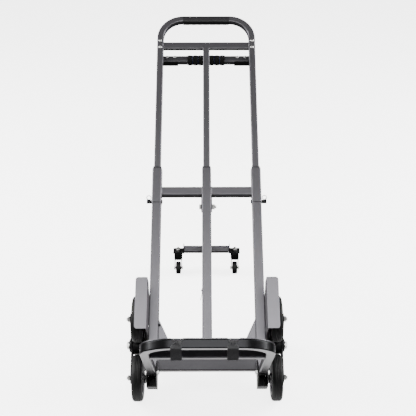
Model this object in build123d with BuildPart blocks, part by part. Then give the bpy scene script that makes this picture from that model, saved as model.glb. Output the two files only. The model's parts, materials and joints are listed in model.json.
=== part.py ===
"""Stair climbing trolley, standing reclined on its star wheels and its two rear casters.

The frame leans back, so most pieces are placed in the frame's own directions:
x across the trolley, s up along the side rails, n out of the load side.
s = 0, n = 0 is the foot of the star wheels' axle line on the rails' front plane.
The load side faces -Y. The floor is z = 0. All sizes are in millimetres.
"""

from build123d import *
import math
import os

os.makedirs("parts", exist_ok=True)

# ---------------------------------------------------------------- driving dimensions
lean = 52.0                 # the frame's lean back from the vertical, in degrees
rail_spacing = 345.0        # centre to centre of the two side rails
rail_size = 32.0            # square outer tube
rail_wall = 1.5
inner_size = 24.0           # square telescoping tube
inner_wall = 1.5
tube_corner = 3.5           # outside corner radius of the square tubes

rail_bottom = -108.0
rail_top = 602.0
inner_bottom = 440.0        # lower end of the telescoping tubes, handle pulled out
cross_tall = 38.0           # cross tube at the foot of the frame
cross_deep = 30.0
bottom_cross_low = -100.0
middle_cross_size = 30.0
middle_cross_low = 501.5

wheel_radius = 75.0
wheel_width = 35.0
wheel_mid_x = 224.0
star_radius = 110.0
star_inner_x = 199.0        # inner face of the inner star plate
star_outer_x = 245.0        # inner face of the outer star plate
star_plate = 4.0
axle_radius = 8.0
axle_n = -102.0
wheel_bolt_radius = 5.0

handle_mid_s = 1233.0       # centre line of the handle's top bar
handle_bend = 86.0          # centre line radius of the handle's bends
upper_cross_low = 1101.0
upper_cross_high = 1130.0
rear_bar_s = 1120.0
rear_bar_n = -118.0
rear_bar_size = 26.0

toe_size = 25.0
toe_low = -118.0            # underside of the toe frame
toe_front = 435.0
toe_bend = 87.5
toe_root = 9.0
toe_cross_front = 303.0
toe_pivot_s = -110.0
toe_pivot_n = 22.0
strap_mids = (-80.0, 69.0)
strap_width = 30.0

leg_s = 476.0
leg_size = 30.0
leg_pivot_n = -52.0
leg_cross_n = -511.0
leg_cross_size = 25.0
leg_cross_half = 91.0
caster_x = 115.0
caster_radius = 25.0
caster_trail = 20.0

lock_s = 481.0
clearance = 0.05            # radial running fit

# ---------------------------------------------------------------- the leaning frame
up_y = math.sin(math.radians(lean))
up_z = math.cos(math.radians(lean))
rail_x = rail_spacing / 2
rail_half = rail_size / 2
tube_n = -rail_half         # centre line of every rail and inner tube
hub_z = wheel_radius + star_radius / 2
centre_shift = -316.5       # brings the middle of the whole trolley to y = 0
frame_y = centre_shift
frame_z = hub_z - axle_n * up_y
sides = {"left": -1, "right": 1}


def spot(x, s, n):
    """World position of a point given in the frame's directions."""
    return (x, frame_y + s * up_y - n * up_z, frame_z + s * up_z + n * up_y)


def facing(x=0, s=0, n=0):
    """Plane seen from the load side: local x across, local y up the frame."""
    return Plane(spot(x, s, n), x_dir=(1, 0, 0), z_dir=(0, -up_z, up_y))


def along(x=0, s=0, n=0):
    """Section plane of a rail: local x across, local y to the back."""
    return Plane(spot(x, s, n), x_dir=(1, 0, 0), z_dir=(0, up_y, up_z))


def across(x=0, s=0, n=0):
    """Side view plane, facing +X: local x up the frame, local y to the load side."""
    return Plane(spot(x, s, n), x_dir=(0, up_y, up_z), z_dir=(1, 0, 0))


def save(builder, name):
    """Label a finished piece and write its STEP file."""
    builder.part.label = name
    export_step(builder.part, f"parts/{name}.step")


def tube_outline(wide, tall, wall, corner=tube_corner):
    """Hollow section of a rectangular tube, drawn in the sketch that is open."""
    RectangleRounded(wide, tall, corner)
    RectangleRounded(wide - 2 * wall, tall - 2 * wall, corner - wall, mode=Mode.SUBTRACT)


def rail_tube(x, low, high, size, wall):
    """One straight tube of the frame, parallel to the rails."""
    with BuildPart() as tube:
        with BuildSketch(along(x, low, tube_n)):
            tube_outline(size, size, wall)
        extrude(amount=high - low)
    return tube


hub_spot = spot(0, 0, axle_n)
hub_y = hub_spot[1]

# ---------------------------------------------------------------- outer rails
pin_hole = 4.0 + clearance

for side, sign in sides.items():
    with BuildPart() as side_rail:
        with BuildSketch(along(sign * rail_x, rail_bottom, tube_n)):
            tube_outline(rail_size, rail_size, rail_wall)
        extrude(amount=rail_top - rail_bottom)
        with BuildSketch(across(sign * (rail_x + rail_half + 1), lock_s, tube_n)):
            Circle(pin_hole)
        extrude(amount=-sign * 5, mode=Mode.SUBTRACT)
    save(side_rail, f"{side}_side_rail")

center_rail = rail_tube(0, bottom_cross_low + cross_tall, rail_top, rail_size, rail_wall)
save(center_rail, "center_rail")

# ---------------------------------------------------------------- cross tubes and gussets
cross_span = rail_spacing - rail_size

with BuildPart() as bottom_crossbar:
    with BuildSketch(across(-cross_span / 2, bottom_cross_low + cross_tall / 2, -cross_deep / 2)):
        tube_outline(cross_tall, cross_deep, 1.5, 3.0)
    extrude(amount=cross_span)
save(bottom_crossbar, "bottom_crossbar")

sleeve_wall = 1.0
middle_gap = rail_x - rail_half - sleeve_wall - rail_half

with BuildPart() as middle_crossbars:
    for start in (-(rail_half + middle_gap), rail_half):
        middle_cross_half = middle_cross_size / 2
        with BuildSketch(across(start, middle_cross_low + middle_cross_half, -middle_cross_half - 1)):
            tube_outline(middle_cross_size, middle_cross_size, 1.5, 3.0)
        extrude(amount=middle_gap)
save(middle_crossbars, "middle_crossbars")

gusset_top = 68.0
gusset_wide = 62.0
gusset_back = -12.0
gusset_thick = 4.0

with BuildPart() as gusset_plates:
    with BuildSketch(facing(0, bottom_cross_low + cross_tall, gusset_back)):
        for sign in (-1, 1):
            with BuildLine():
                Polyline(
                    (sign * cross_span / 2, 0),
                    (sign * cross_span / 2, gusset_top - bottom_cross_low - cross_tall),
                    (sign * (cross_span / 2 - gusset_wide), 0),
                    close=True,
                )
            make_face()
    extrude(amount=gusset_thick)
save(gusset_plates, "gusset_plates")

# ---------------------------------------------------------------- guide bushes and lock sleeves
bush_head = 8.0
bush_skirt = 30.0
bush_bore = inner_size + 0.4

with BuildPart() as tube_guide_bushes:
    for x in (-rail_x, 0, rail_x):
        with BuildSketch(along(x, rail_top, tube_n)):
            RectangleRounded(rail_size, rail_size, tube_corner)
        extrude(amount=bush_head, taper=14)
        with BuildSketch(along(x, rail_top - bush_skirt, tube_n)):
            RectangleRounded(rail_size - 2 * rail_wall, rail_size - 2 * rail_wall, tube_corner - rail_wall)
        extrude(amount=bush_skirt)
        with BuildSketch(along(x, rail_top - bush_skirt, tube_n)):
            RectangleRounded(bush_bore, bush_bore, tube_corner - rail_wall)
        extrude(amount=bush_skirt + bush_head, mode=Mode.SUBTRACT)
save(tube_guide_bushes, "tube_guide_bushes")

sleeve_low = 474.6

with BuildPart() as lock_sleeves:
    sleeve_size = rail_size + 2 * sleeve_wall
    for sign in (-1, 1):
        with BuildSketch(along(sign * rail_x, sleeve_low, tube_n)):
            RectangleRounded(sleeve_size, sleeve_size, tube_corner + sleeve_wall)
            RectangleRounded(rail_size, rail_size, tube_corner, mode=Mode.SUBTRACT)
        extrude(amount=rail_top - sleeve_low)
        with BuildSketch(across(sign * (rail_x + rail_half - 1), lock_s, tube_n)):
            Circle(pin_hole)
        extrude(amount=sign * 4, mode=Mode.SUBTRACT)
save(lock_sleeves, "lock_sleeves")

# ---------------------------------------------------------------- spring plungers
barrel_start = rail_x + rail_half + sleeve_wall
barrel_length = 11.0
barrel_radius = 6.5
barrel_wall = 1.2
spring_wire = 0.55
spring_pitch = 1.25
spring_radius = 4.6
collar_length = 1.4
far_cap = 3.0

with BuildPart() as plunger_barrels:
    for sign in (-1, 1):
        with BuildSketch(across(sign * barrel_start, lock_s, tube_n)):
            Circle(barrel_radius)
        extrude(amount=sign * barrel_length)
        with BuildSketch(across(sign * barrel_start, lock_s, tube_n)):
            Circle(barrel_radius - barrel_wall)
        extrude(amount=sign * (barrel_length - barrel_wall), mode=Mode.SUBTRACT)
        with BuildSketch(across(sign * barrel_start, lock_s, tube_n)):
            Circle(pin_hole)
        extrude(amount=sign * barrel_length, mode=Mode.SUBTRACT)
        with BuildSketch(across(sign * (rail_x - rail_half - sleeve_wall), lock_s, tube_n)):
            Circle(barrel_radius)
        extrude(amount=-sign * far_cap)
save(plunger_barrels, "plunger_barrels")

with BuildPart() as lock_springs:
    for sign in (-1, 1):
        for turn in range(2):
            coil_x = barrel_start + barrel_length - barrel_wall - spring_wire - spring_pitch * turn
            coil_spot = spot(sign * coil_x, lock_s, tube_n)
            with BuildSketch(Plane(coil_spot, x_dir=(0, 0, 1), z_dir=(0, 1, 0))):
                with Locations((spring_radius, 0)):
                    Circle(spring_wire)
            revolve(axis=Axis(coil_spot, (1, 0, 0)))
save(lock_springs, "lock_springs")

pull_ring_radius = 7.6
pull_wire = 1.1
knob_start = barrel_start + barrel_length + 0.4
knob_length = 6.0
eye_length = 2.6
eye_x = knob_start + knob_length / 2
eye_s = lock_s + barrel_radius + 2.2
eye_tilt = math.radians(30)
eye_way = (math.cos(eye_tilt), math.sin(eye_tilt))
pin_tip_x = rail_x + rail_half - rail_wall - 1.0

for side, sign in sides.items():
    ring_x = sign * (eye_x - pull_ring_radius * eye_way[1])
    ring_mid = spot(ring_x, eye_s + pull_ring_radius * eye_way[0], tube_n)
    eye_dir = (sign * eye_way[0], eye_way[1] * up_y, eye_way[1] * up_z)
    with BuildPart() as lock_pin:
        with BuildSketch(across(sign * pin_tip_x, lock_s, tube_n)):
            Circle(4.0)
        extrude(amount=sign * (knob_start - pin_tip_x))
        with BuildSketch(across(sign * (barrel_start + 0.1), lock_s, tube_n)):
            Circle(barrel_radius - barrel_wall - 0.15)
        extrude(amount=sign * collar_length)
        with BuildSketch(across(sign * knob_start, lock_s, tube_n)):
            Circle(barrel_radius)
        extrude(amount=sign * knob_length)
        with BuildSketch(across(sign * (eye_x - eye_length / 2), eye_s - 1, tube_n)):
            RectangleRounded(7.0, 5.0, 1.5)
        extrude(amount=sign * eye_length)
        with BuildSketch(Plane(spot(sign * eye_x, eye_s, tube_n), x_dir=(0, -up_z, up_y), z_dir=eye_dir)):
            Circle(pull_wire + 0.45)
        extrude(amount=5, both=True, mode=Mode.SUBTRACT)
        with BuildSketch(Plane(ring_mid, x_dir=(1, 0, 0), z_dir=(0, up_y, up_z))):
            with Locations((pull_ring_radius, 0)):
                Circle(pull_wire)
        revolve(axis=Axis(ring_mid, (0, -up_z, up_y)))
    save(lock_pin, f"{side}_lock_pin")

# ---------------------------------------------------------------- star axles and their brackets
bracket_outer = rail_x + rail_half
bracket_wall = 4.0
bracket_back = axle_n - 22.0
bracket_reach = 40.0

with BuildPart() as axle_brackets:
    for sign in (-1, 1):
        for start in (bracket_outer - rail_size, bracket_outer - bracket_wall):
            with BuildSketch(across(sign * start, 0, -rail_size)):
                with BuildLine():
                    Polyline(
                        (-bracket_reach, 0),
                        (bracket_reach, 0),
                        (bracket_reach, -20),
                        (22, axle_n + rail_size),
                        (16, bracket_back + rail_size),
                        (-16, bracket_back + rail_size),
                        (-22, axle_n + rail_size),
                        (-bracket_reach, -20),
                        close=True,
                    )
                make_face()
            extrude(amount=sign * bracket_wall)
        with BuildSketch(facing(sign * rail_x, 0, -rail_size)):
            Rectangle(rail_size, 2 * bracket_reach)
        extrude(amount=-bracket_wall)
        with BuildSketch(across(sign * (bracket_outer + 1), 0, axle_n)):
            Circle(axle_radius)
        extrude(amount=-sign * (rail_size + 2), mode=Mode.SUBTRACT)
save(axle_brackets, "axle_brackets")

axle_start = bracket_outer - rail_size - 4.0
axle_end = 266.0
axle_nut_start = 257.0

with BuildPart() as stub_axles:
    for sign in (-1, 1):
        with BuildSketch(across(sign * axle_start, 0, axle_n)):
            Circle(axle_radius)
        extrude(amount=sign * (axle_nut_start - axle_start))
        with BuildSketch(across(sign * (axle_start - 8), 0, axle_n)):
            RegularPolygon(13, 6)
        extrude(amount=sign * 8)
        with BuildSketch(across(sign * axle_nut_start, 0, axle_n)):
            Circle(15)
        extrude(amount=sign * 2)
        with BuildSketch(across(sign * (axle_nut_start + 2), 0, axle_n)):
            RegularPolygon(12, 6)
        extrude(amount=sign * (axle_end - axle_nut_start - 3.5))
        with BuildSketch(across(sign * axle_nut_start, 0, axle_n)):
            Circle(axle_radius - 0.6)
        extrude(amount=sign * (axle_end - axle_nut_start))
save(stub_axles, "stub_axles")

# ---------------------------------------------------------------- wheel guards
guard_sheet = 2.5
guard_face = 94.0
guard_low = 12.0
guard_high = 177.0
guard_outer = 226.0
guard_back = -26.0

with BuildPart() as wheel_guards:
    for sign in (-1, 1):
        guard_wide = guard_outer - bracket_outer
        guard_mid_x = sign * (bracket_outer + guard_wide / 2)
        with BuildSketch(facing(guard_mid_x, (guard_low + guard_high) / 2, guard_face)) as guard_outline:
            Rectangle(guard_wide, guard_high - guard_low)
            outer_corners = guard_outline.vertices().group_by(Axis.X)[-1 if sign > 0 else 0]
            fillet(outer_corners, 9)
        extrude(amount=guard_sheet)
        with BuildSketch(across(sign * bracket_outer, 0, 0)):
            with BuildLine():
                Polyline(
                    (guard_low, guard_face + 1),
                    (guard_high, guard_face + 1),
                    (guard_high, 40),
                    (guard_high - 50, guard_back),
                    (guard_low + 50, guard_back),
                    (guard_low, 40),
                    close=True,
                )
            make_face()
        extrude(amount=sign * guard_sheet)
save(wheel_guards, "wheel_guards")

# ---------------------------------------------------------------- toe plate hinge
cheek = 3.0
hinge_low = -154.0

with BuildPart() as hinge_brackets:
    for sign in (-1, 1):
        for start in (bracket_outer - rail_size, bracket_outer - cheek):
            with BuildSketch(across(sign * start, 0, 0)):
                with BuildLine():
                    Polyline(
                        (-71, 0.2),
                        (-71, 14),
                        (-90, 47),
                        (-130, 47),
                        (hinge_low, 22),
                        (hinge_low, -rail_size),
                        (rail_bottom - 0.2, -rail_size),
                        (rail_bottom - 0.2, 0.2),
                        close=True,
                    )
                make_face()
            extrude(amount=sign * cheek)
        with BuildSketch(across(sign * (bracket_outer - rail_size), 0, 0)):
            with Locations((toe_low - 1.75, 39.25)):
                Rectangle(3.0, 15.5)
            with Locations((hinge_low + 1.5, -5.0)):
                Rectangle(3.0, 54.0)
        extrude(amount=sign * rail_size)
        with BuildSketch(facing(sign * rail_x, (rail_bottom + hinge_low) / 2, -rail_size)):
            Rectangle(rail_size, rail_bottom - hinge_low - 14)
        extrude(amount=cheek)
        with BuildSketch(across(sign * (bracket_outer + 1), toe_pivot_s, toe_pivot_n)):
            Circle(4.0)
        extrude(amount=-sign * (rail_size + 2), mode=Mode.SUBTRACT)
save(hinge_brackets, "hinge_brackets")

with BuildPart() as toe_hinge_bolts:
    for sign in (-1, 1):
        inner_face = bracket_outer - rail_size
        with BuildSketch(across(sign * (inner_face - 8), toe_pivot_s, toe_pivot_n)):
            Circle(4.0)
        extrude(amount=sign * (rail_size + 8))
        with BuildSketch(across(sign * bracket_outer, toe_pivot_s, toe_pivot_n)):
            RegularPolygon(7.5, 6)
        extrude(amount=sign * 5)
        with BuildSketch(across(sign * inner_face, toe_pivot_s, toe_pivot_n)):
            RegularPolygon(7.5, 6)
        extrude(amount=-sign * 6)
save(toe_hinge_bolts, "toe_hinge_bolts")

# ---------------------------------------------------------------- toe plate
toe_half = toe_size / 2
toe_mid_s = toe_low + toe_half
toe_mid_front = toe_front - toe_half
toe_sheet_thick = 2.5

with BuildPart() as toe_frame:
    with BuildLine(along(0, toe_mid_s, 0)) as toe_path:
        Polyline(
            (-rail_x, -toe_root),
            (-rail_x, -toe_mid_front),
            (rail_x, -toe_mid_front),
            (rail_x, -toe_root),
        )
        fillet(toe_path.vertices().group_by(Axis.Z)[-1], toe_bend)
    with BuildSketch(facing(-rail_x, toe_mid_s, toe_root)):
        tube_outline(toe_size, toe_size, 1.5, 3.0)
    sweep(path=toe_path.line)
    for sign in (-1, 1):
        with BuildSketch(across(sign * (rail_x + toe_half + 1), toe_pivot_s, toe_pivot_n)):
            Circle(4.0 + clearance)
        extrude(amount=-sign * (toe_size + 2), mode=Mode.SUBTRACT)
save(toe_frame, "toe_frame")

toe_inner = rail_x - toe_half
strap_reach = 32.0
notch_gap = 0.5
strap_back = toe_front - strap_reach

with BuildPart() as toe_crossbar:
    with BuildSketch(across(-toe_inner, toe_mid_s, toe_cross_front - toe_half)):
        tube_outline(toe_size, toe_size, 1.5, 3.0)
    extrude(amount=2 * toe_inner)
save(toe_crossbar, "toe_crossbar")

with BuildPart() as toe_sheet:
    sheet_deep = toe_front - toe_cross_front + toe_size
    with BuildSketch(along(0, toe_low + toe_size, toe_front - sheet_deep / 2)) as sheet_outline:
        Rectangle(2 * (rail_x + toe_half), sheet_deep)
        front_corners = sheet_outline.vertices().group_by(Axis.Y)[0]
        fillet(front_corners, toe_bend + toe_half)
        for strap_mid in strap_mids:
            with Locations((strap_mid, (strap_reach + notch_gap - sheet_deep) / 2)):
                Rectangle(strap_width + 2 * notch_gap, strap_reach + notch_gap, mode=Mode.SUBTRACT)
    extrude(amount=toe_sheet_thick)
save(toe_sheet, "toe_sheet")

strap_thick = 2.5
strap_drop = 40.0

with BuildPart() as toe_straps:
    tube_top = toe_low + toe_size
    strap_top = tube_top + toe_sheet_thick - 0.2
    for strap_mid in strap_mids:
        with BuildSketch(across(strap_mid - strap_width / 2, 0, 0)):
            with BuildLine():
                Polyline(
                    (tube_top, strap_back),
                    (tube_top, toe_front),
                    (toe_low, toe_front),
                    (toe_low, strap_back + 10),
                    (toe_low - strap_thick, strap_back + 10),
                    (toe_low - strap_thick, toe_front + strap_thick),
                    (strap_top, toe_front + strap_thick),
                    (strap_top, strap_back),
                    close=True,
                )
            make_face()
        extrude(amount=strap_width)
        flap_corner = spot(strap_mid, toe_low - strap_thick, toe_front + strap_thick)
        flap_spot = (flap_corner[0], flap_corner[1] + strap_thick / 2, flap_corner[2] - strap_drop / 2 + 3)
        with BuildSketch(Plane(flap_spot, x_dir=(1, 0, 0), z_dir=(0, -1, 0))):
            Rectangle(strap_width, strap_drop)
        extrude(amount=strap_thick)
save(toe_straps, "toe_straps")

# ---------------------------------------------------------------- telescoping handle
handle_low = inner_bottom
handle_corners = (
    (-rail_x, handle_low),
    (-rail_x, handle_mid_s),
    (rail_x, handle_mid_s),
    (rail_x, handle_low),
)

with BuildPart() as handle_tube:
    with BuildLine(facing(0, 0, tube_n)) as handle_path:
        Polyline(*handle_corners)
        fillet(handle_path.vertices().group_by(Axis.Z)[-1], handle_bend)
    with BuildSketch(along(-rail_x, handle_low, tube_n)):
        tube_outline(inner_size, inner_size, inner_wall)
    sweep(path=handle_path.line)
save(handle_tube, "handle_tube")

center_inner_tube = rail_tube(0, inner_bottom, upper_cross_low, inner_size, inner_wall)
save(center_inner_tube, "center_inner_tube")

upper_span = rail_spacing - inner_size

with BuildPart() as upper_crossbar:
    upper_mid = (upper_cross_low + upper_cross_high) / 2
    with BuildSketch(across(-upper_span / 2, upper_mid, tube_n)):
        tube_outline(upper_cross_high - upper_cross_low, 15.0, 1.5, 3.0)
    extrude(amount=upper_span)
save(upper_crossbar, "upper_crossbar")

grip_wall = 2.5
grip_half = rail_x - handle_bend

with BuildPart() as handle_grip:
    with BuildSketch(across(-grip_half, handle_mid_s, tube_n)):
        RectangleRounded(inner_size + 2 * grip_wall, inner_size + 2 * grip_wall, tube_corner + grip_wall + 2)
        RectangleRounded(inner_size, inner_size, tube_corner, mode=Mode.SUBTRACT)
    extrude(amount=2 * grip_half)
save(handle_grip, "handle_grip")

slider_length = 40.0
slider_size = rail_size - 2 * rail_wall - 0.3

with BuildPart() as inner_tube_sliders:
    for x in (-rail_x, 0, rail_x):
        with BuildSketch(along(x, inner_bottom - 6, tube_n)):
            RectangleRounded(slider_size, slider_size, tube_corner - rail_wall)
        extrude(amount=slider_length - 6)
        with BuildSketch(along(x, inner_bottom, tube_n)):
            RectangleRounded(inner_size, inner_size, tube_corner)
        extrude(amount=slider_length, mode=Mode.SUBTRACT)
save(inner_tube_sliders, "inner_tube_sliders")

# ---------------------------------------------------------------- rear handle
arm_thick = 4.0
arm_outer = rail_x + inner_size / 2
tube_back = tube_n - inner_size / 2
bar_half = rear_bar_size / 2
tab_length = 75.0
bolt_s = (1104.7, 1133.0)
arm_low = 1096.0
arm_high = 1141.0

with BuildPart() as rear_handle_arms:
    for sign in (-1, 1):
        with BuildSketch(facing(sign * (arm_outer - 11.5), (arm_low + arm_high) / 2, tube_back)):
            Rectangle(23, arm_high - arm_low)
        extrude(amount=-arm_thick)
        with BuildSketch(across(sign * arm_outer, 0, 0)):
            with BuildLine():
                Polyline(
                    (arm_low, tube_back),
                    (arm_high, tube_back),
                    (rear_bar_s + bar_half, rear_bar_n + bar_half + 8),
                    (rear_bar_s + bar_half, rear_bar_n - bar_half),
                    (rear_bar_s - bar_half - arm_thick, rear_bar_n - bar_half),
                    (rear_bar_s - bar_half - arm_thick, rear_bar_n + bar_half),
                    close=True,
                )
            make_face()
        extrude(amount=-sign * arm_thick)
        tab_x = sign * (arm_outer - tab_length / 2)
        with BuildSketch(along(tab_x, rear_bar_s - bar_half - arm_thick, rear_bar_n)):
            Rectangle(tab_length, rear_bar_size)
        extrude(amount=arm_thick)
save(rear_handle_arms, "rear_handle_arms")

bar_end = arm_outer - arm_thick

with BuildPart() as rear_handle_bar:
    with BuildSketch(across(-bar_end, rear_bar_s, rear_bar_n)):
        tube_outline(rear_bar_size, rear_bar_size, 1.5, 3.0)
    extrude(amount=2 * bar_end)
save(rear_handle_bar, "rear_handle_bar")

foam_count = 7
foam_segment = 18.7
foam_ring = 2.3
foam_radius = 20.0
foam_start = -(foam_count * foam_segment + (foam_count - 1) * foam_ring) / 2

with BuildPart() as rear_grip_foam:
    for index in range(foam_count):
        with BuildSketch(across(foam_start + index * (foam_segment + foam_ring), rear_bar_s, rear_bar_n)):
            Circle(foam_radius)
            RectangleRounded(rear_bar_size, rear_bar_size, 3.0, mode=Mode.SUBTRACT)
        extrude(amount=foam_segment)
save(rear_grip_foam, "rear_grip_foam")

with BuildPart() as rear_grip_rings:
    for index in range(foam_count - 1):
        ring_x = foam_start + foam_segment + index * (foam_segment + foam_ring)
        with BuildSketch(across(ring_x, rear_bar_s, rear_bar_n)):
            Circle(foam_radius + 0.4)
            RectangleRounded(rear_bar_size, rear_bar_size, 3.0, mode=Mode.SUBTRACT)
        extrude(amount=foam_ring)
save(rear_grip_rings, "rear_grip_rings")

tube_face = tube_n + inner_size / 2
screw_s = rear_bar_s + 6.5

with BuildPart() as rear_handle_bolts:
    for sign in (-1, 1):
        for height in bolt_s:
            with BuildSketch(facing(sign * rail_x, height, tube_face)):
                Circle(6.3)
            extrude(amount=3.5, taper=30)
            with BuildSketch(facing(sign * rail_x, height, tube_back - arm_thick)):
                RegularPolygon(6.5, 6)
            extrude(amount=-5)
        for inset in (32.5, 62.5):
            bolt_x = sign * (arm_outer - inset)
            with BuildSketch(facing(bolt_x, screw_s, rear_bar_n + bar_half)):
                Circle(5.2)
            extrude(amount=3.0, taper=30)
            with BuildSketch(facing(bolt_x, screw_s, rear_bar_n - bar_half)):
                RegularPolygon(5.8, 6)
            extrude(amount=-5)
save(rear_handle_bolts, "rear_handle_bolts")

# ---------------------------------------------------------------- support leg
pivot_cheek = 3.0
pivot_bolt_radius = 5.0
leg_end = 9.0

with BuildPart() as leg_pivot_bracket:
    for sign in (-1, 1):
        with BuildSketch(across(sign * rail_half, leg_s, 0)):
            with BuildLine():
                Polyline(
                    (-24, -8),
                    (24, -8),
                    (24, -44),
                    (14, leg_pivot_n - 14),
                    (-14, leg_pivot_n - 14),
                    (-24, -44),
                    close=True,
                )
            make_face()
        extrude(amount=sign * pivot_cheek)
    with BuildSketch(across(-rail_half, leg_s, 0)):
        with Locations((20.0, leg_pivot_n - 10)):
            Rectangle(3.0, 36.0)
    extrude(amount=rail_size)
    with BuildSketch(across(-rail_half - pivot_cheek, leg_s, leg_pivot_n)):
        Circle(pivot_bolt_radius)
    extrude(amount=rail_size + 2 * pivot_cheek, mode=Mode.SUBTRACT)
save(leg_pivot_bracket, "leg_pivot_bracket")

with BuildPart() as leg_pivot_bolt:
    bolt_half = rail_half + pivot_cheek
    with BuildSketch(across(-bolt_half, leg_s, leg_pivot_n)):
        Circle(pivot_bolt_radius)
    extrude(amount=2 * bolt_half + 15)
    with BuildSketch(across(-bolt_half, leg_s, leg_pivot_n)):
        RegularPolygon(9.5, 6)
    extrude(amount=-7)
    with BuildSketch(across(bolt_half, leg_s, leg_pivot_n)):
        RegularPolygon(9.5, 6)
    extrude(amount=9)
save(leg_pivot_bolt, "leg_pivot_bolt")

with BuildPart() as leg_tube:
    leg_face = leg_cross_n + leg_cross_size / 2
    leg_start = leg_pivot_n + leg_end
    with BuildSketch(facing(0, leg_s, leg_start)):
        tube_outline(leg_size, leg_size, 1.5, 3.0)
    extrude(amount=leg_face - leg_start)
    with BuildSketch(across(-leg_size / 2 - 1, leg_s, leg_pivot_n)):
        Circle(pivot_bolt_radius + clearance)
    extrude(amount=leg_size + 2, mode=Mode.SUBTRACT)
save(leg_tube, "leg_tube")

with BuildPart() as leg_cross_tube:
    with BuildSketch(across(-leg_cross_half, leg_s, leg_cross_n)):
        tube_outline(leg_cross_size, leg_cross_size, 1.5, 3.0)
    extrude(amount=2 * leg_cross_half)
save(leg_cross_tube, "leg_cross_tube")

leg_cross_spot = spot(0, leg_s, leg_cross_n)
stem_y = leg_cross_spot[1]
leg_cross_z = leg_cross_spot[2]
tab_top = 96.0
tab_thick = 4.0
stem_radius = 5.0

with BuildPart() as leg_end_plates:
    for sign in (-1, 1):
        with BuildSketch(Plane((sign * leg_cross_half, stem_y, 0), x_dir=(0, 1, 0), z_dir=(1, 0, 0))):
            with Locations((0, (tab_top - tab_thick + leg_cross_z + 17) / 2)):
                Rectangle(36, leg_cross_z + 17 - tab_top + tab_thick)
        extrude(amount=sign * 3)
        with BuildSketch(Plane.XY.offset(tab_top - tab_thick)):
            with Locations((sign * (leg_cross_half + 22), stem_y)):
                Rectangle(44, 36)
            with Locations((sign * caster_x, stem_y)):
                Circle(stem_radius + clearance, mode=Mode.SUBTRACT)
        extrude(amount=tab_thick)
save(leg_end_plates, "leg_end_plates")

nut_height = 9.0

with BuildPart() as caster_stem_nuts:
    with BuildSketch(Plane.XY.offset(tab_top)):
        for sign in (-1, 1):
            with Locations((sign * caster_x, stem_y)):
                RegularPolygon(9.5, 6)
                Circle(stem_radius + clearance, mode=Mode.SUBTRACT)
    extrude(amount=nut_height)
save(caster_stem_nuts, "caster_stem_nuts")

clip_low = 132.0
clip_long = 38.0
clip_n = -16.0
clip_wide = 14.0

with BuildPart() as leg_clip:
    with BuildSketch(facing(-rail_half, clip_low, clip_n - clip_wide / 2)):
        with BuildLine():
            Polyline(
                (0, clip_long),
                (-1, clip_long),
                (-1, 20),
                (-5.4, 2),
                (-5.0, 0),
                (-4.2, 0.6),
                (-4.4, 2.2),
                (0, 19),
                close=True,
            )
        make_face()
    extrude(amount=clip_wide)
save(leg_clip, "leg_clip")

# ---------------------------------------------------------------- casters
caster_axle_y = stem_y - caster_trail
fork_top = tab_top - tab_thick - 0.3
crown_low = 58.0
caster_wheel_half = 10.0
fork_gap = 12.0
fork_thick = 3.5

for side, sign in sides.items():
    caster_mid_x = sign * caster_x
    with BuildPart() as caster_fork:
        with BuildSketch(Plane.XY.offset(crown_low)):
            with Locations((caster_mid_x, stem_y)):
                Circle(17)
        extrude(amount=fork_top - crown_low)
        with BuildSketch(Plane.XY.offset(fork_top)):
            with Locations((caster_mid_x, stem_y)):
                Circle(stem_radius)
        extrude(amount=tab_top + nut_height + 6 - fork_top)
        for start in (caster_mid_x - fork_gap - fork_thick, caster_mid_x + fork_gap):
            with BuildSketch(Plane((start, stem_y, 0), x_dir=(0, 1, 0), z_dir=(1, 0, 0))):
                with BuildLine():
                    Polyline(
                        (14, crown_low + 16),
                        (14, crown_low - 2),
                        (-caster_trail + 7, caster_radius - 7),
                        (-caster_trail - 7, caster_radius - 7),
                        (-caster_trail - 9, crown_low - 6),
                        (-14, crown_low + 16),
                        close=True,
                    )
                make_face()
            extrude(amount=fork_thick)
        axle_reach = fork_gap + fork_thick + 3
        axle_end = (caster_mid_x - axle_reach, caster_axle_y, caster_radius)
        with BuildSketch(Plane(axle_end, x_dir=(0, 1, 0), z_dir=(1, 0, 0))):
            Circle(4.0)
        extrude(amount=2 * axle_reach)
    save(caster_fork, f"{side}_caster_fork")

    caster_centre = (caster_mid_x, caster_axle_y, caster_radius)
    caster_plane = Plane(caster_centre, x_dir=(0, 0, 1), z_dir=(0, 1, 0))
    caster_axis = Axis(caster_centre, (1, 0, 0))
    with BuildPart() as caster_wheel:
        with BuildSketch(caster_plane):
            with BuildLine():
                Polyline(
                    (4.0 + clearance, -11),
                    (8, -11),
                    (9, -6),
                    (13, -4),
                    (18, -8),
                    (18, 8),
                    (13, 4),
                    (9, 6),
                    (8, 11),
                    (4.0 + clearance, 11),
                    close=True,
                )
            make_face()
        revolve(axis=caster_axis)
    save(caster_wheel, f"{side}_caster_wheel")

    with BuildPart() as caster_tire:
        with BuildSketch(caster_plane) as tire_outline:
            with Locations((21.5, 0)):
                Rectangle(7, 2 * caster_wheel_half)
            outer_edge = tire_outline.vertices().group_by(Axis.X)[-1]
            fillet(outer_edge, 4)
        revolve(axis=caster_axis)
    save(caster_tire, f"{side}_caster_tire")

# ---------------------------------------------------------------- star wheels
lobe_radius = 18.0
hub_radius = 34.0
hub_tube_radius = 17.0
root_limit = 48.0
arm_slope = 90 - math.degrees(math.atan((hub_radius - 6 - lobe_radius) / star_radius))
wheel_angles = {"top": 90.0, "front": 210.0, "rear": 330.0}


def star_spot(x, angle):
    """World position of one wheel's centre on the star, or of the hub for angle None."""
    if angle is None:
        return (x, hub_y, hub_z)
    turn = math.radians(angle)
    return (x, hub_y + star_radius * math.cos(turn), hub_z + star_radius * math.sin(turn))


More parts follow.
